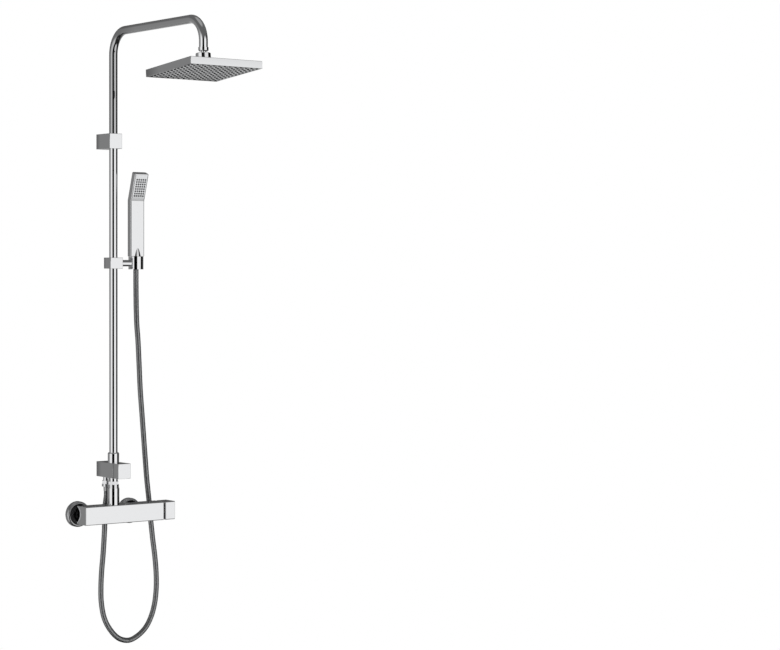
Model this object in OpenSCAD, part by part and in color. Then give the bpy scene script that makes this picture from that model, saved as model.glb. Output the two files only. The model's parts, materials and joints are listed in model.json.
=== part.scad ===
// Rainfall shower column: a bar mixer on two wall inlets, a diverter block, a riser bent into an
// overhead arm with a square rain head on a ball joint, and a hand shower on a sliding holder.
// Frame: origin on the wall face midway between the inlets, +X to the right, +Z up, wall at y = 0.
// Everything stands out from the wall towards -Y, and distances from the wall are called "out".

/* [Wall inlets] */
// Distance between the centres of the two wall inlets
inlet_spacing = 150; // [146:1:154]
// Radius of the cover plate around each inlet
rosette_r = 32.5; // [30:0.5:34]

/* [Mixer bar] */
// Distance from the inlets' midpoint to the bar's left end
bar_left = 88; // [86:1:96]
// Distance from the inlets' midpoint to the bar's right end
bar_right = 140; // [138:1:150]
// Depth of the bar, wall side to front
bar_depth = 46; // [44:1:50]
// Height of the bar
bar_h = 47; // [45:1:52]
// Space between the wall and the back of the bar
bar_back = 24; // [24:0.5:26]
// Gap between the bar and its handle
handle_gap = 6; // [5.5:0.5:8]
// Length of the handle block along the bar
handle_len = 28; // [24:1:34]

/* [Blocks on the riser] */
// Width of the bracket, slider and diverter blocks
block_w = 36; // [35:1:40]
// Height of the wall bracket and diverter blocks
block_h = 38; // [36:1:42]
// Depth of the wall bracket block
bracket_depth = 68; // [68:1:72]
// Height of the bracket's centre above the inlets
bracket_z = 944; // [860:5:1000]
// Depth of the diverter's fixed body
diverter_depth = 82.7; // [82:0.1:84]
// Front of the diverter's knob
knob_front = 110; // [106:1:114]

/* [Riser and arm] */
// Wall thickness of the riser tube
riser_wall = 1.5; // [1:0.1:2]
// Reach of the arm from the riser's axis to the rain head's axis
arm_reach = 420; // [350:5:450]
// Height of the arm's axis above the inlets
arm_z = 1219; // [1180:1:1300]
// Radius of both bends on the tube's axis
bend_r = 58; // [50:1:70]

/* [Rain head] */
// Side of the square rain head
head_w = 200; // [180:5:250]
// Thickness of the rain head
head_t = 18; // [16:1:22]
// Distance between nozzles
head_pitch = 15; // [12:0.5:15]
// How far the front edge is tipped up at rest, in degrees
head_tip = 5; // [0:1:8]

/* [Hand shower] */
// Height of the slider block
slider_h = 28; // [26:1:32]
// Width of the hand shower
stick_w = 40; // [36:1:42]
// Thickness of the hand shower
stick_t = 18; // [16:1:20]
// Forward lean of the hand shower's spray end, in degrees
stick_lean = 18; // [8:1:20]

/* [Hose] */
// Outer radius of the hose
hose_r = 6.9; // [6:0.1:7]
// Sides of the hose's tube
hose_sides = 10; // [8:1:12]

/* [Hidden] */

$fn = 64;

chrome = [0.82, 0.83, 0.85];
chrome_dark = [0.62, 0.63, 0.66];
brass = [0.78, 0.62, 0.34];
steel = [0.58, 0.59, 0.61];
white_plastic = [0.92, 0.92, 0.9];
grey_rubber = [0.42, 0.43, 0.45];
black_rubber = [0.12, 0.12, 0.13];

// running clearance of a shaft in its hole, and free clearance between neighbours
run = 0.05;
free = 0.3;

// pipe threads, drawn as plain cylinders at their major radius
g38_r = 8.33;
g12_r = 10.48;
g34_r = 13.22;

// the riser's outer radius, its axis' distance from the wall, and the heights of the diverter and the
// slider, which the hose's route below is drawn for
riser_r = 10.5;
riser_out = 55;
diverter_z = 112;
slider_z = 636;
holder_x = 66;

bar_mid = bar_back + bar_depth / 2;
handle_x0 = bar_right + handle_gap;
handle_x1 = handle_x0 + handle_len;
pocket_x = bar_right - 48;
lever_x = pocket_x + 28;

diverter_z0 = diverter_z - block_h / 2;
diverter_z1 = diverter_z + block_h / 2;
hose_out = 20;
bracket_z0 = bracket_z - block_h / 2;
plate_w = 25.4;
plate_h = 27.4;
plate_t = 6.8;

arm_out = riser_out + arm_reach;
bend_z = arm_z - bend_r;
drop_z = bend_z - 14;
collar_z1 = diverter_z1 + 25;
riser_z0 = diverter_z1 + 3;
joint_z = bracket_z + 10;

ball_z = drop_z - 27;
ball_r = 10;
head_top = -16;
head_bottom = head_top - head_t;
head_rows = 2 * floor((head_w / 2 - 9) / head_pitch) + 1;
head_nozzle_r = 2.7;

holder_z0 = slider_z - 15.5;
holder_z1 = slider_z + 17;
holder_r = 19;
stick_z0 = holder_z1 + free;
stick_bend_z = 795;
stick_head_len = 74;
stick_mid = riser_out;

// the hose's route as [x, out, z], from the outlet under the diverter, down behind the bar, round
// the hanging loop, up behind the bar again and on to the hand shower
hose_route = [
    [0, 20, 56], [0, 20, 50], [0, 20, 44], [-1, 18, 30], [-2, 16, 12], [-3, 16, -10], [-3, 16, -35],
    [-5, 16, -70], [-8, 16, -110], [-12, 16, -150], [-14, 16, -190], [-13, 16, -228],
    [-5, 16, -268], [12, 16, -300], [37, 16, -325], [67, 15, -334], [95, 13, -326],
    [121, 11, -307], [139, 9, -280], [150, 8, -248], [155, 8, -210], [155, 8, -170],
    [151, 8, -125], [144, 8, -75], [138, 8, -25], [133, 8, 25], [127, 8, 75],
    [122, 8, 130], [117, 8, 190], [112, 8, 250], [107, 8, 310], [103, 9, 375],
    [98, 12, 435], [91, 18, 475], [84, 27, 510], [76, 39, 548], [69, 50, 582],
    [66, 55, 608], [66, 55, 618], [66, 55, 627]
];
hose_steps = 2;

// ---------- helpers ----------

// puts its children at x, at a distance out from the wall, and at height z
module at(x, out, z) {
    translate([x, -out, z]) children();
}

// a cylinder along +X, starting at its children's origin
module rod_x(r, h) {
    rotate([0, 90, 0]) cylinder(r = r, h = h);
}

// a cylinder that runs away from the wall
module rod_out(r, h) {
    rotate([90, 0, 0]) cylinder(r = r, h = h);
}

// a square with round corners, centred
module round_square(w, h, r) {
    points = [for (c = [[1, 1, 0], [-1, 1, 90], [-1, -1, 180], [1, -1, 270]], a = [0:18:90])
        [c[0] * (w / 2 - r) + r * cos(c[2] + a), c[1] * (h / 2 - r) + r * sin(c[2] + a)]];
    polygon(points);
}

// a box of the given size with all its edges rounded, centred on its origin
module soft_box(size, r) {
    intersection() {
        linear_extrude(size[2], center = true) round_square(size[0], size[1], r);
        rotate([90, 0, 0]) linear_extrude(size[1], center = true) round_square(size[0], size[2], r);
        rotate([90, 0, 90]) linear_extrude(size[0], center = true) round_square(size[1], size[2], r);
    }
}

// a block of width w and height h, from out0 to out1, with its centre at height z
module wall_block(w, h, out0, out1, z, r) {
    at(0, (out0 + out1) / 2, z) soft_box([w, out1 - out0, h], r);
}

// a block along X from x0 to x1 with the bar's section, shrunk by inset
module bar_block(x0, x1, inset, r) {
    at(x0, bar_mid, 0) rotate([90, 0, 90])
        linear_extrude(x1 - x0) round_square(bar_depth - 2 * inset, bar_h - 2 * inset, r);
}

// the same block as it shows outside, with its end edges rounded too
module bar_skin(x0, x1) {
    intersection() {
        bar_block(x0, x1, 0, 3);
        at((x0 + x1) / 2, bar_mid, 0) soft_box([x1 - x0, bar_depth, bar_h], 1);
    }
}

module both_inlets() {
    for (side = [-1, 1])
        translate([side * inlet_spacing / 2, 0, 0]) children();
}

// ---------- wall inlets ----------

module wall_unions() {
    color(brass) both_inlets() difference() {
        union() {
            at(0, -16, 0) rod_out(g12_r, 16);
            rod_out(12, 8);
            at(0, 8, 0) rod_out(g34_r, 10);
        }
        at(0, -17, 0) rod_out(7.5, 40);
    }
}

rosette_edge = 6.5;
rosette_full = 8;
rosette_lip = rosette_r - rosette_edge - 1;

// a hollow cap with a full round rim, open in front round its union nut
module rosettes() {
    rim = [for (a = [0:10:90])
        [rosette_r - rosette_edge * (1 - cos(a)), rosette_full + rosette_edge * sin(a)]];
    color(chrome) both_inlets() rotate([90, 0, 0]) rotate_extrude()
        polygon(concat(
            [[rosette_r - 2, 0], [rosette_r, 0]], rim,
            [[rosette_lip, rosette_full + rosette_edge - 0.4], [rosette_lip, 5.5], [g34_r + 0.1, 5.5],
                [g34_r + 0.1, 3.5], [rosette_r - 5, 3.5], [rosette_r - 2, 1.5]]
        ));
}

// the rubber rings that grip the unions and fill the caps
module rosette_rings() {
    color(black_rubber) both_inlets() rotate([90, 0, 0]) rotate_extrude()
        polygon([
            [g34_r + 0.1, 5.7], [rosette_lip - 0.2, 5.7], [rosette_lip - 0.2, 10], [rosette_lip - 1.5, 11],
            [19, 11], [18, 10], [g34_r + 0.1, 10]
        ]);
}

module union_nuts() {
    color(chrome_dark) both_inlets() difference() {
        at(0, 12.3, 0) rotate([90, 0, 0]) cylinder(r = 16.8, h = 11.3, $fn = 6);
        at(0, 12, 0) rod_out(g34_r + run, 10.1);
        at(0, 20, 0) rod_out(10.2, 5);
    }
}

module inlet_filters() {
    color(grey_rubber) both_inlets() difference() {
        at(0, 18, 0) rod_out(12.6, 2);
        at(0, 18.6, 0) rod_out(7, 2);
        for (a = [0:60:300])
            rotate([0, a, 0]) at(4, 17, 0) rod_out(1.4, 3);
        at(0, 17, 0) rod_out(1.4, 3);
    }
}

module check_valves() {
    color(white_plastic) both_inlets() difference() {
        at(0, 21, 0) rod_out(6.95, 12);
        at(0, 20, 0) rod_out(4.5, 4);
        at(0, 26, 0) rod_out(4.5, 8);
        for (a = [45:90:315])
            rotate([0, a, 0]) at(3, 20, 0) rod_out(1.1, 14);
    }
}

// ---------- mixer ----------

// how far out and how high the bar's three water ways run, and their bore
hot_way = [42, -12];
cold_way = [40, 4];
mixed_way = [56, -2];
way_r = 3.5;
body_wall = 3.5;

// a length of water way along X, from x0 to x1
module way(line, x0, x1, r) {
    at(x0, line[0], line[1]) rod_x(r, x1 - x0);
}

// everything that is bored out of the bar: inlets, water ways, outlet and cartridge pocket
module mixer_bores() {
    both_inlets() at(0, 19, 0) rod_out(7, 25);
    at(-inlet_spacing / 2, hot_way[0], hot_way[1]) cylinder(r = 4, h = -hot_way[1]);
    way(hot_way, -inlet_spacing / 2 - 3, pocket_x + 1, way_r);
    way(cold_way, inlet_spacing / 2, pocket_x + 1, way_r);
    way(mixed_way, 0, pocket_x + 1, way_r);
    at(0, riser_out, -5) cylinder(r = 8, h = bar_h);
    at(0, riser_out, bar_h / 2 - 12) cylinder(r = g12_r, h = 13);
    at(pocket_x, bar_mid, 0) rod_x(17.5, 50);
    at(pocket_x + 37.5, bar_mid, 0) rod_x(19, 11);
}

// the metal that stands round those bores inside the hollow bar
module mixer_cores() {
    both_inlets() at(0, bar_back, 0) rod_out(10.5, 24);
    at(-inlet_spacing / 2, hot_way[0], -19) cylinder(r = 8, h = 16);
    way(hot_way, -inlet_spacing / 2 - 8, bar_right, way_r + 2.5);
    way(cold_way, inlet_spacing / 2, bar_right, way_r + 2.5);
    way(mixed_way, -8, bar_right, way_r + 2.5);
    at(0, riser_out, -9) cylinder(r = 13.2, h = bar_h);
}

// the space left inside the bar, clear of its walls and cores
module mixer_hollow() {
    difference() {
        at(body_wall - bar_left, bar_back + bar_depth - body_wall, body_wall - bar_h / 2)
            cube([bar_left + pocket_x - 2 * body_wall, bar_depth - 2 * body_wall, bar_h - 2 * body_wall]);
        mixer_cores();
    }
}

module mixer_body() {
    color(chrome) difference() {
        union() {
            bar_skin(-bar_left, bar_right);
            both_inlets() at(0, 22, 0) rod_out(10, bar_back - 21);
            both_inlets() at(0, 20, 0) rod_out(12.6, 2);
        }
        mixer_hollow();
        mixer_bores();
    }
}

module mixer_cartridge() {
    color(white_plastic) at(pocket_x, bar_mid, 0) difference() {
        translate([0.5, 0, 0]) rod_x(17.4, 36.8);
        translate([18, 0, 0]) rod_x(13, 17.2);
        translate([18, 0, 0]) rod_x(10, 22);
        for (line = [hot_way, cold_way, mixed_way])
            at(0, line[0] - bar_mid, line[1]) rod_x(3, 12);
    }
}

module cartridge_seals() {
    color(black_rubber) at(pocket_x, bar_mid, 0)
        for (line = [hot_way, cold_way, mixed_way])
            at(0, line[0] - bar_mid, line[1]) difference() {
                rod_x(4.2, 0.5);
                translate([-1, 0, 0]) rod_x(3.5, 3);
            }
}

module cartridge_nut() {
    color(brass) at(pocket_x + 37.6, bar_mid, 0) difference() {
        rod_x(18.9, 7);
        translate([-1, 0, 0]) rod_x(12.5, 10);
        for (a = [0:60:300])
            rotate([a, 0, 0]) translate([3, -2, 12]) cube([5, 4, 4]);
    }
}

module lever_carrier() {
    color(white_plastic) at(lever_x, bar_mid, 0) difference() {
        union() {
            translate([-9.5, 0, 0]) rod_x(12.8, 15);
            translate([5, 0, 0]) rod_x(9.9, 8);
        }
        translate([-6, -4.2, -6.5]) cube([25, 8.4, 14]);
        rotate([90, 0, 0]) cylinder(r = 2, h = 40, center = true);
    }
}

module lever_pin() {
    color(steel) at(lever_x, bar_mid, 0) rotate([90, 0, 0]) cylinder(r = 2, h = 24, center = true);
}

module mixer_lever() {
    color(steel) at(lever_x, bar_mid, 0) difference() {
        translate([-4, -4, -4]) cube([49, 8, 8]);
        rotate([90, 0, 0]) cylinder(r = 2 + run, h = 20, center = true);
    }
}

module mixer_handle() {
    color(chrome) difference() {
        union() {
            difference() {
                bar_skin(handle_x0, handle_x1);
                bar_block(handle_x0 - 1, handle_x1 - 3, 4, 1.5);
            }
            at(handle_x0 + 2, bar_mid, 0) translate([0, -9, -9]) cube([handle_len - 4, 18, 18]);
        }
        at(handle_x0, bar_mid, 0) translate([-1, -4.05, -4.05]) cube([21, 8.1, 8.1]);
        at(handle_x0 + 12, bar_mid, -bar_h / 2 - 1) cylinder(r = 2.5, h = bar_h / 2 - 3);
    }
}

module handle_grub_screw() {
    color(steel) at(handle_x0 + 12, bar_mid, -9) difference() {
        cylinder(r = 2.4, h = 4.9);
        translate([0, 0, -1]) cylinder(r = 1.3, h = 3, $fn = 6);
    }
}

// ---------- outlet up to the diverter ----------

sleeve_top = 66;

module outlet_sleeve() {
    color(chrome) at(0, riser_out, 0) difference() {
        union() {
            translate([0, 0, bar_h / 2 - 11]) cylinder(r = g12_r - run, h = 12);
            translate([0, 0, bar_h / 2]) cylinder(r = 15, h = sleeve_top - bar_h / 2);
            translate([0, 0, sleeve_top - 1]) cylinder(r = 12.1 - run, h = 7.5);
        }
        cylinder(r = 8, h = 80);
    }
}

module sleeve_nut() {
    color(chrome_dark) at(0, riser_out, 0) difference() {
        union() {
            translate([0, 0, sleeve_top + free]) cylinder(r = 13.8, h = 9.2);
            translate([0, 0, sleeve_top + 9]) cylinder(r = 14.4, h = 8, $fn = 6);
        }
        translate([0, 0, sleeve_top - 1]) cylinder(r = 12.1, h = 11.2);
        cylinder(r = 11.1, h = 100);
    }
}

// a flat washer, standing on z = 0
module washer(r, bore, h) {
    difference() {
        cylinder(r = r, h = h);
        translate([0, 0, -1]) cylinder(r = bore, h = h + 2);
    }
}

// one on top of the outlet sleeve, and one in the nut at the hose's lower end
module sealing_washers() {
    color(black_rubber) {
        at(0, riser_out, sleeve_top + 6.5) washer(11.4, 8, 1.5);
        at(0, hose_out, 71.5) washer(10.3, 5, 1.5);
    }
}

module inlet_nipple() {
    color(chrome) at(0, riser_out, 0) difference() {
        union() {
            translate([0, 0, sleeve_top + 8]) cylinder(r = 12, h = 2);
            translate([0, 0, sleeve_top + 9]) cylinder(r = 11, h = diverter_z0 - sleeve_top - 9);
            translate([0, 0, diverter_z0 - 1]) cylinder(r = 9.5, h = 7.5);
        }
        cylinder(r = 7, h = 120);
    }
}

// ---------- diverter ----------

module plate_recess(z) {
    at(0, 3.5, z) cube([plate_w + 0.6, 7.1, plate_h + 0.6], center = true);
    at(0, 3.5, z - block_h / 2 - 1) cylinder(r = 2.05, h = 10);
}

module diverter_body() {
    color(chrome) difference() {
        wall_block(block_w, block_h, 0, diverter_depth, diverter_z, 1.2);
        plate_recess(diverter_z);
        at(0, 40, diverter_z) rod_out(12, 60);
        at(0, riser_out, diverter_z0 - 1) cylinder(r = 9.55, h = 7.6);
        at(0, riser_out, diverter_z1 - 6.6) cylinder(r = 9.55, h = 8);
        at(0, riser_out, diverter_z0 + 2) cylinder(r = 7, h = block_h - 4);
        at(0, hose_out - 2, diverter_z) rod_out(3.4, 27);
        at(0, hose_out, diverter_z0) cylinder(r = 4, h = block_h / 2 + 3);
        at(0, hose_out, diverter_z0 - 1) cylinder(r = g38_r + run, h = 9.5);
    }
}

// how far out the cartridge's two O-rings sit
diverter_seals = [45, 66];

module diverter_cartridge() {
    color(white_plastic) at(0, 41, diverter_z) difference() {
        rod_out(11.95, 29);
        for (out = diverter_seals)
            at(0, out - 42, 0) difference() {
                rod_out(13, 2);
                at(0, -1, 0) rod_out(10.25, 4);
            }
        at(0, 14, -15) cylinder(r = 5, h = 30);
        at(0, -1, 0) rod_out(4, 12);
        at(0, 19, 0) rod_out(4 + run, 12);
    }
}

module diverter_nut() {
    color(brass) at(0, 70.3, diverter_z) difference() {
        union() {
            rod_out(11.9, 6);
            at(0, 5, 0) rotate([90, 0, 0]) cylinder(r = 10, h = 5, $fn = 6);
        }
        at(0, -1, 0) rod_out(4.4, 20);
    }
}

module diverter_spindle() {
    color(steel) at(0, 60.5, diverter_z) difference() {
        rod_out(4, 33);
        at(0, 26, -4) cube([10, 16, 2], center = true);
    }
}

module diverter_knob() {
    color(chrome) difference() {
        union() {
            difference() {
                wall_block(block_w, block_h, diverter_depth + free, knob_front, diverter_z, 1.2);
                wall_block(block_w - 7, block_h - 7, diverter_depth, knob_front - 4, diverter_z, 1);
            }
            at(0, 85, diverter_z) rod_out(8, knob_front - 87);
        }
        at(0, 84, diverter_z) rod_out(4 + run, 10);
        at(0, 88, diverter_z0 - 1) cylinder(r = 2, h = 18);
    }
}

module knob_grub_screw() {
    color(steel) at(0, 88, diverter_z - 7.6) difference() {
        cylinder(r = 1.9, h = 4.4);
        translate([0, 0, -1]) cylinder(r = 1, h = 3, $fn = 6);
    }
}

module hose_nipple() {
    color(chrome) at(0, hose_out, 0) difference() {
        union() {
            translate([0, 0, 73]) cylinder(r = g12_r, h = 9.8);
            translate([0, 0, 80]) cylinder(r = g38_r, h = diverter_z0 - 72);
        }
        cylinder(r = 4, h = 120);
    }
}

// ---------- riser ----------

module riser_collar() {
    color(chrome) at(0, riser_out, 0) difference() {
        union() {
            translate([0, 0, diverter_z1 - 6.5]) cylinder(r = 9.5, h = 7);
            translate([0, 0, diverter_z1]) cylinder(r = 14.4, h = 23);
            translate([0, 0, collar_z1 - 2]) cylinder(r1 = 14.4, r2 = 13, h = 2);
        }
        translate([0, 0, diverter_z1 - 8]) cylinder(r = 7, h = 20);
        translate([0, 0, diverter_z1 + 3]) cylinder(r = riser_r + run, h = 30);
        for (z = [8, 15])
            translate([0, 0, diverter_z1 + z]) cylinder(r = riser_r + 1.75, h = 2);
    }
}

module o_ring(r) {
    rotate_extrude() translate([r, 0]) circle(r = 0.8, $fn = 24);
}

// two round the riser's foot, and two round the diverter's cartridge
module o_rings() {
    color(black_rubber) {
        for (z = [9, 16])
            at(0, riser_out, diverter_z1 + z) o_ring(riser_r + 0.88);
        for (out = diverter_seals)
            at(0, out, diverter_z) rotate([90, 0, 0]) o_ring(11.1);
    }
}

// a length of tube along the riser's axis, standing on height z
module upright_tube(r, z0, z1) {
    at(0, riser_out, z0) cylinder(r = r, h = z1 - z0);
}

module riser_tube() {
    color(chrome) difference() {
        upright_tube(riser_r, riser_z0, joint_z);
        upright_tube(riser_r - riser_wall, riser_z0 - 1, joint_z + 1);
    }
}

// a sleeve inside both tubes, where they meet within the wall bracket
module arm_spigot() {
    spigot_r = riser_r - riser_wall - run;
    color(brass) difference() {
        union() {
            upright_tube(spigot_r, joint_z - 25, joint_z + 25);
            upright_tube(spigot_r - 0.5, joint_z - 28, joint_z + 28);
        }
        upright_tube(spigot_r - 2, joint_z - 30, joint_z + 30);
    }
}

// the arm's tube at radius r: up from the joint, over the first bend, out, and down to the head
module arm_run(r, over) {
    upright_tube(r, joint_z - over, bend_z);
    at(0, riser_out + bend_r, bend_z)
        rotate([90, 0, 90]) rotate_extrude(angle = 90) translate([bend_r, 0]) circle(r = r);
    at(0, riser_out + bend_r, arm_z) rod_out(r, arm_reach - 2 * bend_r);
    at(0, arm_out - bend_r, bend_z) mirror([0, 1, 0])
        rotate([90, 0, 90]) rotate_extrude(angle = 90) translate([bend_r, 0]) circle(r = r);
    at(0, arm_out, drop_z - over) cylinder(r = r, h = bend_z - drop_z + over);
}

module shower_arm() {
    color(chrome) difference() {
        arm_run(riser_r, 0);
        arm_run(riser_r - riser_wall, 1);
    }
}

// ---------- wall bracket and fixings ----------

module wall_bracket() {
    color(chrome) difference() {
        wall_block(block_w, block_h, 0, bracket_depth, bracket_z, 1.2);
        plate_recess(bracket_z);
        at(0, riser_out, bracket_z0 - 1) cylinder(r = riser_r + run, h = block_h + 2);
        at(0, 5, bracket_z) rod_out(2.5, 45);
    }
}

module both_plates() {
    for (z = [diverter_z, bracket_z])
        translate([0, 0, z]) children();
}

module wall_plates() {
    color(steel) both_plates() difference() {
        at(0, plate_t / 2, 0) cube([plate_w, plate_t, plate_h], center = true);
        at(0, -1, 0) rod_out(2.6, 10);
        at(0, 4, 0) rotate([90, 0, 0]) cylinder(r1 = 2.6, r2 = 5.4, h = 2.81);
    }
}

// a grub screw up into each wall plate's slot, and one through the upper block against the riser
module bracket_screws() {
    color(steel) {
        both_plates() at(0, 3.5, -block_h / 2 + 0.6) difference() {
            cylinder(r = 2, h = 4.6);
            translate([0, 0, -1]) cylinder(r = 1.1, h = 3, $fn = 6);
        }
        at(0, 9, bracket_z) difference() {
            rod_out(2.45, riser_out - riser_r - 9.1);
            at(0, -1, 0) rotate([90, 0, 0]) cylinder(r = 1.3, h = 3.5, $fn = 6);
        }
    }
}

// ---------- slider and hand shower holder ----------

module slider_bushes() {
    color(white_plastic) at(0, riser_out, slider_z) for (end = [0, 180])
        rotate([0, end, 0]) difference() {
            union() {
                translate([0, 0, 4]) cylinder(r = 12.5, h = slider_h / 2 - 4.2);
                translate([0, 0, slider_h / 2 - 1.7]) cylinder(r = 13.9, h = 1.5);
            }
            cylinder(r = riser_r + run, h = slider_h);
        }
}

module slider_block() {
    color(chrome) difference() {
        wall_block(block_w, slider_h, riser_out - 17, riser_out + 17, slider_z, 1.2);
        at(0, riser_out, slider_z - slider_h) cylinder(r = 12.5 + run, h = 2 * slider_h);
        for (end = [0, 180])
            at(0, riser_out, slider_z) rotate([0, end, 0])
                translate([0, 0, slider_h / 2 - 1.8]) cylinder(r = 14, h = 5);
        at(10, riser_out, slider_z) rod_x(5, 10);
        at(0, riser_out - 20, slider_z) rod_out(2.5, 10);
    }
}

module slider_brake_screw() {
    color(steel) at(0, riser_out - 16.6, slider_z) difference() {
        rod_out(2.45, 16.6 - riser_r - free);
        at(0, -1, 0) rotate([90, 0, 0]) cylinder(r = 1.3, h = 3, $fn = 6);
    }
}

stem_end = holder_x - 16;

module holder_stem() {
    color(chrome) at(0, riser_out, slider_z) difference() {
        union() {
            translate([13.2, 0, 0]) rod_x(4.95, 5.8);
            translate([block_w / 2, 0, 0]) rod_x(8.2, stem_end - block_w / 2);
        }
        translate([stem_end - 15, 0, 0]) rod_x(2.5, 20);
    }
}

module tilt_washer() {
    color(black_rubber) at(stem_end, riser_out, slider_z) difference() {
        rod_x(8, 0.5);
        translate([-1, 0, 0]) rod_x(3.3, 3);
    }
}

module tilt_screw() {
    color(steel) at(stem_end, riser_out, slider_z) difference() {
        union() {
            translate([-14, 0, 0]) rod_x(2.45, 14);
            rod_x(3, 2.1);
            translate([2.05, 0, 0]) rod_x(5, 1.4);
        }
        translate([2.4, 0, 0]) rotate([0, 90, 0]) cylinder(r = 1.5, h = 3, $fn = 6);
    }
}

module hose_holder() {
    color(chrome) difference() {
        at(holder_x, riser_out, holder_z0) cylinder(r = holder_r, h = holder_z1 - holder_z0);
        at(holder_x, riser_out, holder_z0 - 1)
            cylinder(r1 = 11.24, r2 = 13.36, h = holder_z1 - holder_z0 + 2);
        at(holder_x, 0, slider_z) translate([0, -riser_out + 15, 0])
            cube([15.4, 30, 60], center = true);
        at(stem_end - 10, riser_out, slider_z) rod_x(8.2 + run, 10.5);
        at(stem_end - 10, riser_out, slider_z) rod_x(3 + run, 20);
        at(stem_end + 2, riser_out, slider_z) rod_x(5.2, 4);
    }
}

// ---------- hand shower ----------

// outline of the stick from the side, as [out, z], shrunk by inset on every side
function stick_outline(inset) =
    let (
        t = stick_t / 2 - inset,
        top = stick_head_len - inset,
        mitre = t * tan(stick_lean / 2),
        dir = [sin(stick_lean), cos(stick_lean)],
        across = [cos(stick_lean), -sin(stick_lean)]
    )
    [
        [stick_mid - t, stick_z0 + inset],
        [stick_mid + t, stick_z0 + inset],
        [stick_mid + t, stick_bend_z - mitre],
        [stick_mid, stick_bend_z] + top * dir + t * across,
        [stick_mid, stick_bend_z] + top * dir - t * across,
        [stick_mid - t, stick_bend_z + mitre]
    ];

module stick(inset) {
    translate([holder_x + stick_w / 2 - inset, 0, 0])
        rotate([0, 0, 180]) rotate([90, 0, 90])
            linear_extrude(stick_w - 2 * inset) polygon(stick_outline(inset));
}

// puts its children on the front of the spray end, z along it from the bend, out of it along -Y
module on_spray_face() {
    at(holder_x, stick_mid, stick_bend_z)
        rotate([stick_lean, 0, 0]) translate([0, -stick_t / 2, 0]) children();
}

face_w = stick_w - 5;
face_z0 = 2;
face_z1 = stick_head_len - 2.5;
grid_z = 37;
grid_pitch = 6.1;
spray_nozzle_r = 2.3;

// places of the hand shower's nozzles on the spray face, as [x, z]
spray_grid = [for (col = [-2:2], row = [-3.5:3.5]) [col * grid_pitch, grid_z + row * grid_pitch]];

module handset_shell() {
    color(chrome) difference() {
        union() {
            stick(0);
            at(holder_x, riser_out, stick_z0) cylinder(r1 = 12.5, r2 = 8.5, h = 25);
        }
        difference() {
            stick(2);
            at(holder_x, riser_out, stick_z0) cylinder(r = 11, h = 12);
        }
        at(holder_x, riser_out, stick_z0 - 1) cylinder(r = 8 + run, h = 15);
        on_spray_face() translate([-face_w / 2, -1, face_z0]) cube([face_w, 4, face_z1 - face_z0]);
    }
}

module handset_face() {
    color(chrome_dark) on_spray_face() difference() {
        translate([-face_w / 2 + 0.2, 0, face_z0 + 0.2]) cube([face_w - 0.4, 1.8, face_z1 - face_z0 - 0.4]);
        for (p = spray_grid)
            translate([p[0], 3, p[1]]) rod_out(spray_nozzle_r + free, 5);
    }
}

module handset_nozzles() {
    color(grey_rubber) on_spray_face() {
        translate([-15.5, 1.9, grid_z - 25]) cube([31, 1.2, 50]);
        for (p = spray_grid)
            translate([p[0], 2, p[1]]) rod_out(spray_nozzle_r, 2.6, $fn = 20);
    }
}

module handset_water_tube() {
    color(white_plastic) difference() {
        at(holder_x, riser_out, stick_z0 + 12) cylinder(r = 5, h = stick_bend_z - stick_z0 - 14);
        at(holder_x, riser_out, stick_z0 + 10) cylinder(r = 4, h = stick_bend_z);
    }
}

module handset_nipple() {
    color(brass) at(holder_x, riser_out, 0) difference() {
        union() {
            translate([0, 0, holder_z1 - 15]) cylinder(r = g12_r - run, h = 15);
            translate([0, 0, holder_z1 - 1]) cylinder(r = 8, h = 13);
        }
        translate([0, 0, holder_z1 - 20]) cylinder(r = 4.5, h = 40);
    }
}

module handset_washer() {
    color(black_rubber) at(holder_x, riser_out, holder_z1 - 17) washer(10.3, 5, 2);
}

module hose_cone() {
    color(chrome) at(holder_x, riser_out, holder_z1) difference() {
        translate([0, 0, -27]) cylinder(r1 = 11.4, r2 = 13, h = 26.7);
        translate([0, 0, -19]) cylinder(r = g12_r + run, h = 20);
        translate([0, 0, -28]) cylinder(r = 7.7, h = 20);
    }
}

module hose_ferrule_top() {
    color(steel) at(holder_x, riser_out, holder_z1) difference() {
        union() {
            translate([0, 0, -26]) cylinder(r = 7.5, h = 8);
            translate([0, 0, -19]) cylinder(r = 10.2, h = 2);
        }
        translate([0, 0, -30]) cylinder(r = 4.5, h = 30);
    }
}

// ---------- hose ----------

function unit(v) = v / norm(v);

// a point on the smooth curve through four neighbours, at t between the second and the third
function smooth_point(a, b, c, d, t) =
    0.5 * (2 * b + (c - a) * t + (2 * a - 5 * b + 4 * c - d) * t * t
        + (3 * b - a - 3 * c + d) * t * t * t);

function clamp_index(i, n) = min(max(i, 0), n - 1);

function smooth_line(p, steps) = [
    for (i = [0:len(p) - 2], k = [0:steps - 1])
        smooth_point(
            p[clamp_index(i - 1, len(p))], p[i], p[i + 1], p[clamp_index(i + 2, len(p))], k / steps),
    p[len(p) - 1]
];

function to_frame(p) = [p[0], -p[1], p[2]];

module swept_tube(line, r, sides) {
    n = len(line);
    rings = [for (i = [0:n - 1])
        let (
            along = unit(line[min(i + 1, n - 1)] - line[max(i - 1, 0)]),
            side = unit(cross(along, [0, 1, 0])),
            up = cross(side, along)
        )
        for (k = [0:sides - 1])
            line[i] + r * (cos(360 * k / sides) * side + sin(360 * k / sides) * up)];
    walls = [for (i = [0:n - 2], k = [0:sides - 1])
        let (a = i * sides + k, b = i * sides + (k + 1) % sides)
        [a, b, b + sides, a + sides]];
    start = [for (k = [sides - 1:-1:0]) k];
    end = [for (k = [0:sides - 1]) (n - 1) * sides + k];
    polyhedron(points = rings, faces = concat(walls, [start], [end]), convexity = 8);
}

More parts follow.
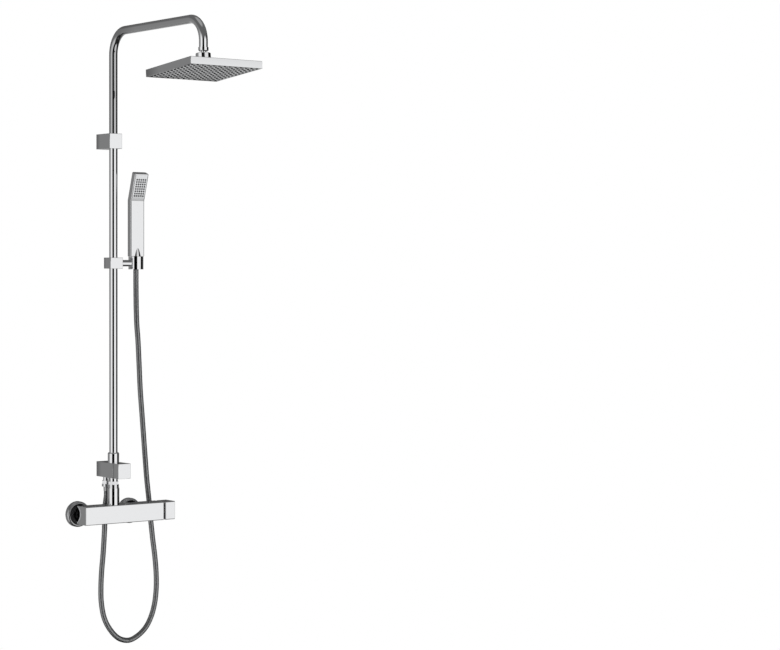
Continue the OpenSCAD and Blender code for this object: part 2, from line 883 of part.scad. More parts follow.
module shower_hose() {
    color(chrome_dark)
        swept_tube(smooth_line([for (p = hose_route) to_frame(p)], hose_steps), hose_r, hose_sides);
}

module hose_nut() {
    color(chrome_dark) at(0, hose_out, 0) difference() {
        union() {
            translate([0, 0, 74]) cylinder(r = 12.4, h = 8.7, $fn = 6);
            translate([0, 0, 67.5]) cylinder(r = 11.6, h = 7);
        }
        translate([0, 0, 70]) cylinder(r = g12_r + run, h = 14);
        translate([0, 0, 60]) cylinder(r = 7.7, h = 20);
    }
}

module hose_ferrule_low() {
    color(steel) at(0, hose_out, 0) difference() {
        union() {
            translate([0, 0, 56]) cylinder(r1 = 7.3, r2 = 7.6, h = 12);
            translate([0, 0, 67]) cylinder(r = 7.6, h = 4);
            translate([0, 0, 70]) cylinder(r = 10.2, h = 1.5);
        }
        cylinder(r = 4.5, h = 80);
    }
}

// ---------- ball joint and rain head ----------

// the ball's centre, upright, as the fixed half of the joint stands
module at_ball() {
    at(0, arm_out, ball_z) children();
}

// the same place, tipped as the head hangs at rest
module at_tipped_ball() {
    at_ball() rotate([-head_tip, 0, 0]) children();
}

module ball_connector() {
    color(chrome) at_ball() difference() {
        union() {
            translate([0, 0, 27]) cylinder(r = riser_r - riser_wall - run, h = 12);
            translate([0, 0, 19.5]) cylinder(r = 12.2, h = 7.5);
            translate([0, 0, 17]) cylinder(r1 = 9, r2 = 12.2, h = 2.5);
            cylinder(r = 5.5, h = 20);
            sphere(r = ball_r);
        }
        translate([0, 0, -15]) cylinder(r = 3, h = 60);
    }
}

// a ring cut from a hollow sphere, between the heights -h and h
module ball_shell(inner, outer, h) {
    difference() {
        intersection() {
            sphere(r = outer);
            cylinder(r = outer + 1, h = 2 * h, center = true);
        }
        sphere(r = inner);
    }
}

module ball_seat() {
    color(white_plastic) at_tipped_ball() ball_shell(ball_r + run, 12, 6);
}

module ball_ring() {
    color(brass) at_tipped_ball() ball_shell(12 + run, 14, 6);
}

module ball_gasket() {
    color(black_rubber) at_tipped_ball() translate([0, 0, -7.9]) difference() {
        cylinder(r = 13.8, h = 1.5);
        translate([0, 0, -1]) cylinder(r = 10.8, h = 4);
    }
}

module ball_nut() {
    color(chrome) at_tipped_ball() difference() {
        union() {
            translate([0, 0, head_top + 0.5]) cylinder(r = 18, h = 13 - head_top - 1.5);
            translate([0, 0, 11.9]) cylinder(r1 = 18, r2 = 17, h = 1.1);
        }
        translate([0, 0, -20]) cylinder(r = 14.6, h = 20);
        intersection() {
            sphere(r = 14 + run);
            translate([0, 0, -1]) cylinder(r = 20, h = 7.3);
        }
        cylinder(r = 10.8, h = 20);
    }
}

module head_shell() {
    color(chrome) at_tipped_ball() difference() {
        union() {
            translate([0, 0, head_bottom + head_t / 2]) soft_box([head_w, head_w, head_t], 1);
            translate([0, 0, head_top - 1]) cylinder(r = 14.5, h = 9);
        }
        translate([0, 0, head_bottom - 1]) linear_extrude(head_t - 2)
            square(head_w - 8, center = true);
        translate([0, 0, -11]) cylinder(r = 9.3, h = 10);
        translate([0, 0, -30]) cylinder(r = 5, h = 30);
    }
}

// places of the rain head's nozzles, as [x, y]
head_places = [for (i = [0:head_rows - 1], j = [0:head_rows - 1])
    head_pitch * [i - (head_rows - 1) / 2, j - (head_rows - 1) / 2]];

module head_face() {
    color(chrome_dark) at_tipped_ball() difference() {
        translate([0, 0, head_bottom + 0.4]) linear_extrude(1.6) square(head_w - 8.4, center = true);
        for (p = head_places)
            translate([p[0], p[1], head_bottom - 1]) cylinder(r = head_nozzle_r + free, h = 5, $fn = 20);
    }
}

module head_nozzles() {
    color(grey_rubber) at_tipped_ball() {
        translate([0, 0, head_bottom + 2.1]) linear_extrude(1.5) square(head_w - 9, center = true);
        for (p = head_places)
            translate([p[0], p[1], head_bottom - 1]) cylinder(r = head_nozzle_r, h = 3.5, $fn = 20);
    }
}

// ---------- nodes ----------

wall_unions();
rosettes();
rosette_rings();
union_nuts();
inlet_filters();
check_valves();
mixer_body();
mixer_cartridge();
cartridge_seals();
cartridge_nut();
lever_carrier();
lever_pin();
mixer_lever();
mixer_handle();
handle_grub_screw();
outlet_sleeve();
sleeve_nut();
sealing_washers();
inlet_nipple();
diverter_body();
diverter_cartridge();
diverter_nut();
diverter_spindle();
diverter_knob();
knob_grub_screw();
hose_nipple();
riser_collar();
o_rings();
riser_tube();
arm_spigot();
shower_arm();
wall_bracket();
wall_plates();
bracket_screws();
slider_bushes();
slider_block();
slider_brake_screw();
holder_stem();
tilt_screw();
tilt_washer();
hose_holder();
handset_shell();
handset_face();
handset_nozzles();
handset_water_tube();
handset_nipple();
handset_washer();
hose_cone();
hose_ferrule_top();
shower_hose();
hose_nut();
hose_ferrule_low();
ball_connector();
ball_seat();
ball_ring();
ball_nut();
ball_gasket();
head_shell();
head_face();
head_nozzles();
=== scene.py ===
"""Looks of the rainfall shower column: materials, hose, nozzles, light, floor and camera.

Everything is in metres in the CAD frame: origin on the wall between the inlets, -Y out of the wall, +Z up.
"""

import json
import math

import bmesh
import bpy
from mathutils import Matrix, Vector


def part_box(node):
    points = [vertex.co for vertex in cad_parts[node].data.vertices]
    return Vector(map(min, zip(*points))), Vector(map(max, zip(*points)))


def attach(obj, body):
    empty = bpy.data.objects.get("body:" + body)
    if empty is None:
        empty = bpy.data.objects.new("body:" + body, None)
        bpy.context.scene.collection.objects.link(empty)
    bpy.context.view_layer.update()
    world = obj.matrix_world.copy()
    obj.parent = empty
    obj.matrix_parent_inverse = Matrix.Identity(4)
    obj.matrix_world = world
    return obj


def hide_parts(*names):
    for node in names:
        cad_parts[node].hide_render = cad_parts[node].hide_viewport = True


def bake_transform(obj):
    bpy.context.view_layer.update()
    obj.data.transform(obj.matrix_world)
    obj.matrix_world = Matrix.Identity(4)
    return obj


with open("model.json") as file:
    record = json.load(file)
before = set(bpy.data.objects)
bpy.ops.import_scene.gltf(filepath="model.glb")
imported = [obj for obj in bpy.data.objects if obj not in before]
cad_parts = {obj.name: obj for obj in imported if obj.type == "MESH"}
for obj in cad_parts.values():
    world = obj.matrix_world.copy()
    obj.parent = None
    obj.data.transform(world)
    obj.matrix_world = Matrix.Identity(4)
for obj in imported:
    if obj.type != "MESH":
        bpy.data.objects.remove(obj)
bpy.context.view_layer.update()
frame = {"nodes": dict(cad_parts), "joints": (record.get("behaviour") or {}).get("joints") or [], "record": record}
nodes = frame["nodes"]
scene = bpy.context.scene

# ---------- camera ----------

CAMERA_PLACE = Vector((-2.8206, -4.8759, 0.6094))
CAMERA_YAW = math.radians(37.535)
CAMERA_PITCH = math.radians(-1.325)
CAMERA_ROLL = math.radians(0.152)
CAMERA_LENS = 101.02


def make_camera():
    data = bpy.data.cameras.new("camera")
    data.lens = CAMERA_LENS
    data.sensor_width = 36
    data.clip_end = 200
    camera = bpy.data.objects.new("camera", data)
    camera.location = CAMERA_PLACE
    turn = (Matrix.Rotation(-CAMERA_YAW, 3, "Z") @ Matrix.Rotation(math.radians(90) + CAMERA_PITCH, 3, "X")
            @ Matrix.Rotation(CAMERA_ROLL, 3, "Z"))
    camera.rotation_euler = turn.to_euler()
    scene.collection.objects.link(camera)
    scene.camera = camera


make_camera()

# ---------- hose ----------

# the route of part.scad, as (x, out, z) in millimetres from the outlet's nut to the hand shower
HOSE_ROUTE = [
    (0, 20, 56), (0, 20, 50), (0, 20, 44), (-1, 18, 30), (-2, 16, 12), (-3, 16, -10), (-3, 16, -35),
    (-5, 16, -70), (-8, 16, -110), (-12, 16, -150), (-14, 16, -190), (-13, 16, -228),
    (-5, 16, -268), (12, 16, -300), (37, 16, -325), (67, 15, -334), (95, 13, -326),
    (121, 11, -307), (139, 9, -280), (150, 8, -248), (155, 8, -210), (155, 8, -170),
    (151, 8, -125), (144, 8, -75), (138, 8, -25), (133, 8, 25), (127, 8, 75),
    (122, 8, 130), (117, 8, 190), (112, 8, 250), (107, 8, 310), (103, 9, 375),
    (98, 12, 435), (91, 18, 475), (84, 27, 510), (76, 39, 548), (69, 50, 582),
    (66, 55, 608), (66, 55, 618), (66, 55, 627),
]
HOSE_D = 0.0138
HOSE_SIDES = 20
COIL_PITCH = 0.0034
RINGS_PER_COIL = 6
GROOVE = 0.0007


def metres(p):
    return Vector((p[0], -p[1], p[2])) / 1000


def smooth_line(points, steps):
    """The points of a Catmull-Rom curve through these points."""
    line = []
    last = len(points) - 1
    for i in range(last):
        a, b = points[max(i - 1, 0)], points[i]
        c, d = points[i + 1], points[min(i + 2, last)]
        for k in range(steps):
            t = k / steps
            line.append(0.5 * (2 * b + (c - a) * t + (2 * a - 5 * b + 4 * c - d) * t * t
                               + (3 * b - a - 3 * c + d) * t ** 3))
    line.append(points[last])
    return line


def even_line(line, step):
    """The same line with its points at equal distances of about step."""
    along = [0.0]
    for a, b in zip(line, line[1:]):
        along.append(along[-1] + (b - a).length)
    count = round(along[-1] / step)
    points, i = [], 0
    for k in range(count + 1):
        s = along[-1] * k / count
        while i < len(line) - 2 and along[i + 1] < s:
            i += 1
        points.append(line[i].lerp(line[i + 1], (s - along[i]) / (along[i + 1] - along[i])))
    return points


def coil_radius(turn):
    """The hose's radius at a place on its coil, in turns: a round ridge with a sharp groove after it."""
    share = turn % 1
    return HOSE_D / 2 - GROOVE * abs(2 * share - 1) ** 3


def tube_mesh(name, line, first, last):
    """The wound hose along line[first..last], with its coils in step along the whole line."""
    mesh = bpy.data.meshes.new(name)
    work = bmesh.new()
    rings = []
    for i in range(first, last + 1):
        along = (line[min(i + 1, len(line) - 1)] - line[max(i - 1, 0)]).normalized()
        side = along.cross(Vector((0, 1, 0))).normalized()
        up = side.cross(along)
        ring = []
        for k in range(HOSE_SIDES):
            angle = 2 * math.pi * k / HOSE_SIDES
            radius = coil_radius(i / RINGS_PER_COIL + k / HOSE_SIDES)
            ring.append(work.verts.new(line[i] + radius * (math.cos(angle) * side + math.sin(angle) * up)))
        rings.append(ring)
    for a, b in zip(rings, rings[1:]):
        for k in range(HOSE_SIDES):
            n = (k + 1) % HOSE_SIDES
            work.faces.new((a[k], a[n], b[n], b[k]))
    work.faces.new(reversed(rings[0]))
    work.faces.new(rings[-1])
    bmesh.ops.recalc_face_normals(work, faces=work.faces)
    work.to_mesh(mesh)
    work.free()
    mesh.shade_smooth()
    obj = bpy.data.objects.new(name, mesh)
    scene.collection.objects.link(obj)
    return obj


def length_of(line):
    return sum((b - a).length for a, b in zip(line, line[1:]))


# each stretch ends at a height on the way up, and is listed with the two bodies of the joint it crosses and the
# two heights it spans
HOSE_STRETCHES = [
    ("hose_from_nut", None, ("root", "slider_liner"), (0.056, -0.724)),
    ("hose_from_loop", 0.34, ("root", "slider_liner"), (-1.008, 0.34)),
    ("hose_at_turn", 0.45, ("slider_liner", "slider"), (0.34, 0.45)),
    ("hose_at_tilt", 0.54, ("slider", "holder"), (0.45, 0.54)),
    ("hose_at_handset", None, ("holder", "handset"), (0.54, 0.627)),
]


def make_hose():
    line = even_line(smooth_line([metres(p) for p in HOSE_ROUTE], 8), COIL_PITCH / RINGS_PER_COIL)
    bottom = min(range(len(line)), key=lambda i: line[i].z)
    cuts = [0, bottom]
    for name, top, bodies, heights in HOSE_STRETCHES[1:-1]:
        cuts.append(next(i for i in range(bottom, len(line)) if line[i].z >= top))
    cuts.append(len(line) - 1)
    made = []
    for (name, top, bodies, heights), first, last in zip(HOSE_STRETCHES, cuts, cuts[1:]):
        piece = tube_mesh(name, line, first, last)
        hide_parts("shower_hose")
        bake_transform(piece)
        made.append(piece)
    print("hose length", round(length_of(line), 4))
    return made


hose = make_hose()

# ---------- pieces built here ----------


def finished(name, work, place=None):
    """The object that holds a bmesh, moved to its place, with soft shading that keeps its flats flat."""
    mesh = bpy.data.meshes.new(name)
    bmesh.ops.recalc_face_normals(work, faces=work.faces)
    if place:
        work.transform(place)
    work.to_mesh(mesh)
    work.free()
    mesh.shade_smooth()
    piece = bpy.data.objects.new(name, mesh)
    scene.collection.objects.link(piece)
    soften(piece)
    return piece


def soften(obj):
    """Shades small round strips into the flats beside them, as polished edges look."""
    weld = obj.modifiers.new("weld", "WELD")
    weld.merge_threshold = 0.00001
    normals = obj.modifiers.new("normals", "WEIGHTED_NORMAL")
    normals.weight = 100


def bridge(work, rings):
    """Skins a row of closed rings, and closes both ends."""
    for a, b in zip(rings, rings[1:]):
        for k in range(len(a)):
            n = (k + 1) % len(a)
            work.faces.new((a[k], a[n], b[n], b[k]))
    work.faces.new(reversed(rings[0]))
    work.faces.new(rings[-1])


def round_outline(half_w, half_t, radius, steps=5):
    """A rectangle with round corners, as (across, out) points."""
    points = []
    for side_w, side_t, start in ((1, 1, 0), (-1, 1, 90), (-1, -1, 180), (1, -1, 270)):
        for k in range(steps + 1):
            angle = math.radians(start + 90 * k / steps)
            points.append((side_w * (half_w - radius) + radius * math.cos(angle),
                           side_t * (half_t - radius) + radius * math.sin(angle)))
    return points


def lathe(work, profile, sides, place):
    """A turned piece from (radius, height) points, round the place's own Z axis."""
    rings = []
    for radius, height in profile:
        rings.append([
            work.verts.new(place @ Vector((radius * math.cos(2 * math.pi * k / sides),
                                           radius * math.sin(2 * math.pi * k / sides), height)))
            for k in range(sides)
        ])
    bridge(work, rings)


# the hand shower's stick: a bar of this width and thickness, bent forward near its top
STICK_W = 0.04
STICK_T = 0.018
STICK_EDGE = 0.003
STICK_LEAN = math.radians(18)
STICK_BEND_Z = 0.795
STICK_HEAD = 0.074
stick_low, stick_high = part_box("handset_shell")
stick_x = (stick_low.x + stick_high.x) / 2
stick_foot = Vector((stick_x, -0.055, stick_low.z))
stick_bend = Vector((stick_x, -0.055, STICK_BEND_Z))
spray_place = Matrix.Translation(stick_bend) @ Matrix.Rotation(STICK_LEAN, 4, "X")


def stick_stations():
    """(centre, direction of the thickness, stretch of the thickness, inset) along the stick."""
    upright = Vector((0, -1, 0))
    leaning = spray_place.to_3x3() @ upright
    along = spray_place.to_3x3() @ Vector((0, 0, 1))
    mitre = (upright + leaning).normalized()
    stretch = 1 / math.cos(STICK_LEAN / 2)
    rim = 0.001
    stations = []
    for k in range(5):
        angle = math.radians(90 * k / 4)
        lift = rim * (1 - math.cos(angle))
        stations.append((stick_foot + Vector((0, 0, lift)), upright, 1, rim * (1 - math.sin(angle))))
    for share in (0.25, 0.5, 0.75, 0.98):
        stations.append((stick_foot.lerp(stick_bend, share), upright, 1, 0))
    stations.append((stick_bend, mitre, stretch, 0))
    straight = STICK_HEAD - STICK_EDGE
    for share in (0.05, 0.5, 0.9):
        stations.append((stick_bend + share * straight * along, leaning, 1, 0))
    for k in range(7):
        angle = math.radians(90 * k / 6)
        rise = STICK_EDGE * math.sin(angle)
        inset = STICK_EDGE * 0.98 * (1 - math.cos(angle))
        stations.append((stick_bend + (straight + rise) * along, leaning, 1, inset))
    return stations


def make_handset_body():
    """The stick with its round edges, and the cone that it stands on."""
    work = bmesh.new()
    rings = []
    for centre, out, stretch, inset in stick_stations():
        outline = round_outline(STICK_W / 2 - inset, STICK_T / 2 - inset, STICK_EDGE - inset)
        rings.append([work.verts.new(centre + Vector((u, 0, 0)) + v * stretch * out) for u, v in outline])
    bridge(work, rings)
    foot = Matrix.Translation(stick_foot)
    cone = [
        (0.0081, 0.001), (0.0081, 0.0), (0.0121, 0.0), (0.0125, 0.0004), (0.0085, 0.0246), (0.008, 0.025),
    ]
    lathe(work, cone, 64, foot)
    piece = finished("handset_body", work)
    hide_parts("handset_shell")
    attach(piece, "handset")
    return piece


# nozzles on the spray face: this many across and along, at this distance from each other
SPRAY_COLS = 5
SPRAY_ROWS = 8
SPRAY_PITCH = 0.0061
SPRAY_NOZZLE_R = 0.0026
SPRAY_MID = 0.037


def make_spray_plate():
    """The raised plate on the spray end, with round corners and a round rim."""
    work = bmesh.new()
    half_w, half_h = STICK_W / 2 - 0.003, (STICK_HEAD - 0.006) / 2
    rings = []
    for rise, inset in ((-0.0006, 0), (0.0001, 0), (0.00025, 0.00008), (0.00035, 0.0003)):
        outline = round_outline(half_w - inset, half_h - inset, 0.0016)
        rings.append([work.verts.new((u, -STICK_T / 2 - rise, v + half_h + 0.0025)) for u, v in outline])
    bridge(work, rings)
    piece = finished("handset_spray_plate", work, spray_place)
    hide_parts("handset_face")
    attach(piece, "handset")
    return piece


def nozzle(radius, height):
    """A soft nozzle's outline: a flat collar, a round shoulder, and the hole in its tip."""
    return [
        (radius, -height), (radius, 0.25 * height), (0.96 * radius, 0.5 * height),
        (0.8 * radius, 0.85 * height), (0.62 * radius, height), (0.36 * radius, height),
        (0.3 * radius, 0.8 * height), (0.3 * radius, 0.1 * height),
    ]


def make_handset_nozzles():
    work = bmesh.new()
    facing = Matrix.Rotation(math.radians(90), 4, "X")
    for col in range(SPRAY_COLS):
        for row in range(SPRAY_ROWS):
            x = (col - (SPRAY_COLS - 1) / 2) * SPRAY_PITCH
            z = SPRAY_MID + (row - (SPRAY_ROWS - 1) / 2) * SPRAY_PITCH
            place = Matrix.Translation((x, -STICK_T / 2 - 0.0003, z)) @ facing
            lathe(work, nozzle(SPRAY_NOZZLE_R, 0.0007), 14, place)
    piece = finished("handset_nozzle_set", work, spray_place)
    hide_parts("handset_nozzles")
    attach(piece, "handset")
    return piece


HEAD_PITCH = 0.015
HEAD_TIP = math.radians(5)
HEAD_NOZZLE_R = 0.0029
head_low, head_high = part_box("head_shell")
head_half = (head_high.x - head_low.x) / 2
HEAD_DEPTH = 0.034


def head_place():
    """The middle of the head's underside, turned as the head hangs at rest."""
    spin = next(joint for joint in frame["joints"] if joint["name"] == "head_spin")
    middle = Vector(spin["pos_m"]) - HEAD_DEPTH * Vector(spin["axis"])
    return Matrix.Translation(middle) @ Matrix.Rotation(-HEAD_TIP, 4, "X")


def make_head_nozzles():
    """The rubber mat behind the head's face, with its rows of nozzles."""
    work = bmesh.new()
    downward = Matrix.Rotation(math.radians(180), 4, "X")
    reach = math.floor((head_half - 0.009) / HEAD_PITCH)
    for col in range(-reach, reach + 1):
        for row in range(-reach, reach + 1):
            place = Matrix.Translation((col * HEAD_PITCH, row * HEAD_PITCH, 0)) @ downward
            lathe(work, nozzle(HEAD_NOZZLE_R, 0.001), 16, place)
    rings = []
    for height in (0.0021, 0.0036):
        outline = round_outline(head_half - 0.0045, head_half - 0.0045, 0.001, 2)
        rings.append([work.verts.new((u, v, height)) for u, v in outline])
    bridge(work, rings)
    piece = finished("head_nozzle_set", work, head_place())
    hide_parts("head_nozzles")
    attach(piece, "head")
    return piece


BLOCKS = [
    "mixer_body", "mixer_handle", "diverter_body", "diverter_knob", "wall_bracket", "slider_block",
    "head_shell", "rosettes",
]
for block in BLOCKS:
    soften(nodes[block])
handset_body = make_handset_body()
spray_plate = make_spray_plate()
handset_nozzles = make_handset_nozzles()
head_nozzles = make_head_nozzles()

# ---------- materials ----------


class Nodes:
    """A material's node tree, with short calls to add and join nodes."""

    def __init__(self, name):
        self.material = bpy.data.materials.new(name)
        self.material.use_nodes = True
        self.tree = self.material.node_tree
        self.shader = self.tree.nodes["Principled BSDF"]

    def set(self, **values):
        for key, value in values.items():
            self.shader.inputs[key.replace("_", " ")].default_value = value

    def add(self, kind, **values):
        node = self.tree.nodes.new(kind)
        for key, value in values.items():
            if key in node.inputs:
                node.inputs[key].default_value = value
            else:
                setattr(node, key, value)
        return node

    def join(self, out, into):
        self.tree.links.new(out, into)

    def noise(self, scale, detail=3.0, stretch=(1, 1, 1)):
        place = self.add("ShaderNodeTexCoord")
        scaled = self.add("ShaderNodeMapping")
        scaled.inputs["Scale"].default_value = stretch
        noise = self.add("ShaderNodeTexNoise", Scale=scale, Detail=detail)
        self.join(place.outputs["Object"], scaled.inputs["Vector"])
        self.join(scaled.outputs["Vector"], noise.inputs["Vector"])
        return noise.outputs["Fac"]

    def spread(self, value, low, high, start=0.3, end=0.7):
        node = self.add("ShaderNodeMapRange")
        node.inputs["From Min"].default_value = start
        node.inputs["From Max"].default_value = end
        node.inputs["To Min"].default_value = low
        node.inputs["To Max"].default_value = high
        self.join(value, node.inputs["Value"])
        return node.outputs["Result"]

    def roughness(self, value):
        self.join(value, self.shader.inputs["Roughness"])

    def colour(self, value, dark, light):
        ramp = self.add("ShaderNodeValToRGB")
        ramp.color_ramp.elements[0].color = (*dark, 1)
        ramp.color_ramp.elements[1].color = (*light, 1)
        self.join(value, ramp.inputs["Fac"])
        self.join(ramp.outputs["Color"], self.shader.inputs["Base Color"])

    def bump(self, value, distance, strength=1.0):
        node = self.add("ShaderNodeBump", Strength=strength, Distance=distance)
        self.join(value, node.inputs["Height"])
        self.join(node.outputs["Normal"], self.shader.inputs["Normal"])


# the rosettes' middles stand this far to each side of the origin, and their plate gets painted shade inside the
# rim, between these two radii
INLET_X = 0.075
RIM_INSIDE = (0.0265, 0.0285)
PAINTED_INSIDE_SHADE = 0.03

# polished pieces get painted shade, standing in for the shade behind them that they mirror: this much darker
# at their back, and plain before the start, which is a share of the piece's depth
PAINTED_BACK_SHADE = 0.5
BACK_START = 0.7


def plating(name, rough, peel):
    """Chrome plate without its colour: faint haze in patches, and the plating's slight waviness."""
    made = Nodes(name)
    made.set(Metallic=1.0)
    made.roughness(made.spread(made.noise(22, 4), rough * 0.75, rough * 1.3))
    made.bump(made.noise(60, 2), peel)
    return made


def chrome(name, tint, rough, peel):
    """Chrome plate with painted shade: its colour is darker towards its back."""
    made = plating(name, rough, peel)
    split = made.add("ShaderNodeSeparateXYZ")
    made.join(made.add("ShaderNodeTexCoord").outputs["Generated"], split.inputs["Vector"])
    # painted shade: the plate's colour darkens towards the piece's back
    depth = made.spread(split.outputs["Y"], 0, 1, 1, BACK_START)
    made.colour(depth, [c * PAINTED_BACK_SHADE for c in tint], tint)
    return made.material


def rosette_chrome(name, tint, rough, peel):
    """Chrome plate for the two wall rosettes, with painted shade inside each bright rim, for the dark unions it
    would mirror.
    """
    made = plating(name, rough, peel)
    place = made.add("ShaderNodeTexCoord").outputs["Object"]
    inside = []
    for x in (-INLET_X, INLET_X):
        away = made.add("ShaderNodeVectorMath", operation="DISTANCE")
        flat = made.add("ShaderNodeVectorMath", operation="MULTIPLY")
        flat.inputs[1].default_value = (1, 0, 1)
        away.inputs[1].default_value = (x, 0, 0)
        made.join(place, flat.inputs[0])
        made.join(flat.outputs["Vector"], away.inputs[0])
        inside.append(away.outputs["Value"])
    nearest = made.add("ShaderNodeMath", operation="MINIMUM")
    for value, socket in zip(inside, nearest.inputs):
        made.join(value, socket)
    rim = made.spread(nearest.outputs["Value"], 0, 1, *RIM_INSIDE)
    # painted shade: the plate turns dark inside each rim
    made.colour(rim, [c * PAINTED_INSIDE_SHADE for c in tint], tint)
    return made.material


def brushed(name, tint, rough, stretch):
    """Metal with fine lines across the stretched direction."""
    made = Nodes(name)
    made.set(Metallic=1.0)
    lines = made.noise(300, 5, stretch)
    made.colour(lines, [c * 0.85 for c in tint], tint)
    made.roughness(made.spread(lines, rough * 0.7, rough * 1.4))
    made.bump(lines, 0.00004, 0.5)
    return made.material


def moulded(name, tint, rough, grain, depth):
    """Plastic or rubber, with a fine moulded grain and slight shade changes."""
    made = Nodes(name)
    patches = made.noise(45, 4)
    made.colour(patches, [c * 0.88 for c in tint], tint)
    made.roughness(made.spread(patches, rough * 0.85, min(rough * 1.15, 1)))
    made.bump(made.noise(grain, 3), depth, 0.6)
    return made.material


MATERIALS = {
    "polished_chrome": chrome("polished_chrome", (0.86, 0.865, 0.875), 0.045, 0.0000012),
    "nut_chrome": chrome("nut_chrome", (0.78, 0.785, 0.8), 0.09, 0.000002),
    "spray_plate": chrome("spray_plate", (0.8, 0.81, 0.82), 0.16, 0.000006),
    # the rosettes' plate: rougher than the polished chrome, and its darker tint is painted shade
    "satin_chrome": rosette_chrome("satin_chrome", (0.66, 0.665, 0.675), 0.34, 0.000002),
    "black_nickel": chrome("black_nickel", (0.12, 0.12, 0.125), 0.09, 0.000006),
    "silicone": moulded("silicone", (0.06, 0.061, 0.063), 0.5, 900, 0.00003),
    "hose_steel": brushed("hose_steel", (0.4, 0.405, 0.41), 0.34, (1, 1, 1)),
    "steel": brushed("steel", (0.62, 0.62, 0.63), 0.3, (1, 1, 12)),
    "brass": brushed("brass", (0.78, 0.6, 0.32), 0.28, (1, 8, 1)),
    "rubber": moulded("rubber", (0.012, 0.012, 0.013), 0.6, 1200, 0.00003),
    "white_plastic": moulded("white_plastic", (0.85, 0.85, 0.83), 0.45, 700, 0.00002),
    "grey_plastic": moulded("grey_plastic", (0.36, 0.37, 0.39), 0.5, 700, 0.00002),
}


def paint(obj, slot):
    obj.data.materials.clear()
    obj.data.materials.append(MATERIALS[slot])


for part in frame["record"]["subparts"]:
    paint(nodes[part["node"]], part["material_slot"])
for piece in hose:
    paint(piece, "hose_steel")
paint(handset_body, "polished_chrome")
paint(spray_plate, "spray_plate")
for piece in (handset_nozzles, head_nozzles):
    paint(piece, "silicone")

# ---------- floor, light and surroundings ----------

FLOOR_Z = -1.0
FLOOR_R = 3.0


def make_floor():
    mesh = bpy.data.meshes.new("floor")
    work = bmesh.new()
    bmesh.ops.create_circle(work, cap_ends=True, segments=96, radius=FLOOR_R)
    bmesh.ops.translate(work, verts=work.verts, vec=(0, 0, FLOOR_Z))
    work.to_mesh(mesh)
    work.free()
    floor = bpy.data.objects.new("floor", mesh)
    scene.collection.objects.link(floor)
    made = Nodes("floor")
    made.colour(made.noise(3, 3), (0.9, 0.9, 0.9), (0.94, 0.94, 0.94))
    made.set(Roughness=0.9)
    floor.data.materials.append(made.material)
    floor.visible_glossy = False


def make_lights():
    for name, place, size, power in (
        ("key", (-1.6, -3.4, 3.6), 2.4, 400),
        ("fill", (2.8, -2.4, 3.2), 2.4, 330),
        ("top", (0, 1.6, 4.2), 3.0, 400),
    ):
        data = bpy.data.lights.new(name, "AREA")
        data.size = size
        data.energy = power
        light = bpy.data.objects.new(name, data)
        light.location = place
        aim = Vector((0, -0.1, 0.3)) - light.location
        light.rotation_euler = aim.to_track_quat("-Z", "Y").to_euler()
        light.visible_glossy = False
        scene.collection.objects.link(light)


# how bright the studio is round the object, by the angle to the right of the viewer's side, and how
# bright it is behind the object, by the height above the horizon; both in degrees
STUDIO_ROUND = [
    (-180, 0.3), (-104, 0.22), (-85, 0.28), (-70, 0.6), (-60, 0.9), (-23, 0.95), (-20, 0.0), (26, 0.0),
    (29, 0.97), (60, 0.97), (76, 0.9), (84, 0.9), (88, 0.0), (150, 0.0), (165, 0.06), (180, 0.15),
]
STUDIO_BEHIND = [
    (-90, 0.2), (-38, 0.13), (-13, 0.45), (-3, 0.3), (0, 0.22), (3, 0.1), (15, 0.06), (30, 0.06), (55, 0.1),
    (90, 0.5),
]
# the light behind the object takes over between these two angles from the viewer's side
BEHIND_FROM = (math.radians(130), math.radians(150))

# the panels fade out between these sines of the height over the horizon, to these shades beyond them
PANEL_TOPS = (0.22, 0.45)
ABOVE_PANELS = 0.13
PANEL_FEET = (-0.7, -0.85)
BELOW_PANELS = 0.03
CEILING = (0.86, 0.93)
CEILING_LIGHT = 0.35


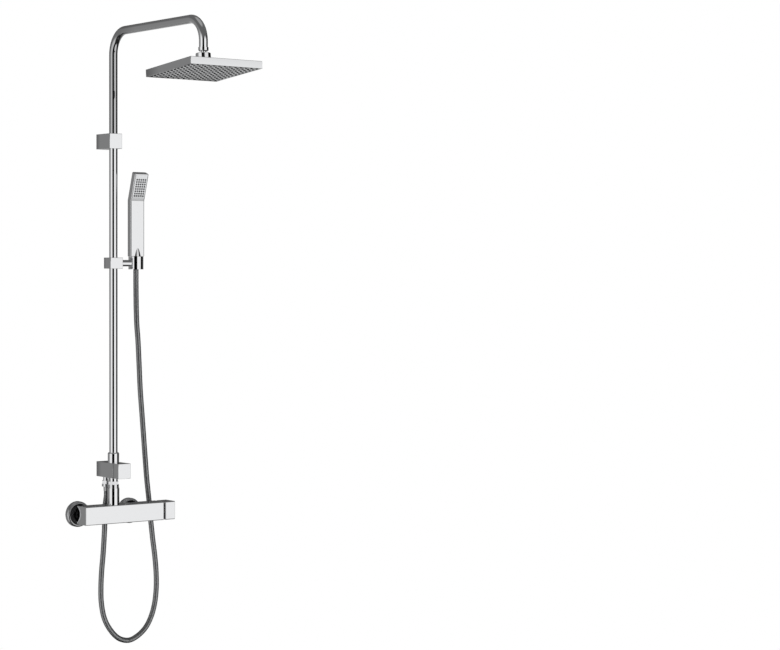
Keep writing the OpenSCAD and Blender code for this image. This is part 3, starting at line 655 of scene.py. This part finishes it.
class Studio:
    """The world's node tree, with short calls to add and join its nodes."""

    def __init__(self):
        world = bpy.data.worlds.new("studio")
        scene.world = world
        world.use_nodes = True
        self.tree = world.node_tree
        self.tree.nodes.clear()

    def add(self, kind, **values):
        node = self.tree.nodes.new(kind)
        for key, value in values.items():
            setattr(node, key, value)
        return node

    def join(self, out, into):
        self.tree.links.new(out, into)

    def sum(self, operation, a, b=None):
        node = self.add("ShaderNodeMath", operation=operation)
        for socket, value in zip(node.inputs, (a, b)):
            if isinstance(value, (int, float)):
                socket.default_value = value
            elif value is not None:
                self.join(value, socket)
        return node.outputs[0]

    def share(self, value, start, end):
        node = self.add("ShaderNodeMapRange")
        node.inputs["From Min"].default_value = start
        node.inputs["From Max"].default_value = end
        self.join(value, node.inputs["Value"])
        return node.outputs["Result"]

    def ramp(self, share, stops, low, high):
        node = self.add("ShaderNodeValToRGB")
        elements = node.color_ramp.elements
        while len(elements) < len(stops):
            elements.new(0.5)
        for element, (degrees, light) in zip(elements, stops):
            element.position = (degrees - low) / (high - low)
            element.color = (light, light, light, 1)
        self.join(share, node.inputs["Fac"])
        return node.outputs["Color"]

    def mix(self, share, a, b):
        node = self.add("ShaderNodeMix", data_type="RGBA")
        self.join(share, node.inputs[0])
        for socket, value in ((node.inputs[6], a), (node.inputs[7], b)):
            if isinstance(value, (int, float)):
                socket.default_value = (value, value, value, 1)
            else:
                self.join(value, socket)
        return node.outputs[2]


def make_studio():
    """White panels and dark gaps round the object, as reflections see them; the backdrop is plain white."""
    studio = Studio()
    split = studio.add("ShaderNodeSeparateXYZ")
    studio.join(studio.add("ShaderNodeTexCoord").outputs["Generated"], split.inputs[0])
    x, y, z = split.outputs
    s, c = math.sin(CAMERA_YAW), math.cos(CAMERA_YAW)
    right = studio.sum("ADD", studio.sum("MULTIPLY", x, c), studio.sum("MULTIPLY", y, -s))
    towards = studio.sum("ADD", studio.sum("MULTIPLY", x, -s), studio.sum("MULTIPLY", y, -c))
    turn = studio.sum("ARCTAN2", right, towards)
    height = studio.sum("ARCSINE", z)
    round_it = studio.ramp(studio.share(turn, -math.pi, math.pi), STUDIO_ROUND, -180, 180)
    behind = studio.ramp(studio.share(height, -math.pi / 2, math.pi / 2), STUDIO_BEHIND, -90, 90)
    is_behind = studio.share(studio.sum("ABSOLUTE", turn), *BEHIND_FROM)
    light = studio.mix(is_behind, round_it, behind)
    light = studio.mix(studio.share(z, *PANEL_TOPS), light, ABOVE_PANELS)
    light = studio.mix(studio.share(z, *PANEL_FEET), light, BELOW_PANELS)
    light = studio.mix(studio.share(z, *CEILING), light, CEILING_LIGHT)
    around = studio.add("ShaderNodeBackground")
    studio.join(light, around.inputs["Color"])
    backdrop = studio.add("ShaderNodeBackground")
    backdrop.inputs["Color"].default_value = (1, 1, 1, 1)
    chosen = studio.add("ShaderNodeMixShader")
    studio.join(studio.add("ShaderNodeLightPath").outputs["Is Camera Ray"], chosen.inputs[0])
    studio.join(around.outputs[0], chosen.inputs[1])
    studio.join(backdrop.outputs[0], chosen.inputs[2])
    studio.join(chosen.outputs[0], studio.add("ShaderNodeOutputWorld").inputs["Surface"])


make_floor()
make_lights()
make_studio()
scene.view_settings.view_transform = "Standard"
